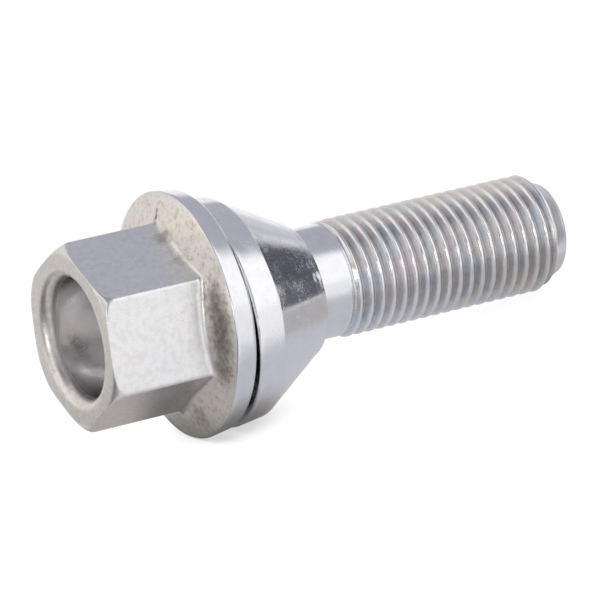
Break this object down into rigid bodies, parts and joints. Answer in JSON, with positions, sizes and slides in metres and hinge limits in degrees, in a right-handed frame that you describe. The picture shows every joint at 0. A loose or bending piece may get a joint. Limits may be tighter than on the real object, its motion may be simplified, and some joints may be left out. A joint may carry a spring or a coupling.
{
  "type": "wheel bolt",
  "caption": "Flanged hexagon wheel bolt with a recessed head, a smooth shank, a fine metric thread and a loose taper ring that turns on the shank.",
  "frame": {"origin": "centre of the head's end face, on which the bolt stands", "axes": "+Z along the bolt from the head's end face to the thread's tip, +X towards a corner of the hexagon"},
  "size_m": [0.0288, 0.0288, 0.0628],
  "materials": {
    "forged_zinc": "satin zinc plate, forged on the head and bright on the rim, shank and thread",
    "turned_zinc": "bright turned zinc plate"
  },
  "bodies": {
    "bolt": {"bolt": "forged_zinc"},
    "taper_ring": {"taper_ring": "turned_zinc"}
  },
  "joints": [
    {"name": "ring_turn", "type": "hinge", "parent": "bolt", "child": "taper_ring", "pos_m": [0, 0, 0.0225], "axis": [0, 0, 1], "continuous": true}
  ]
}
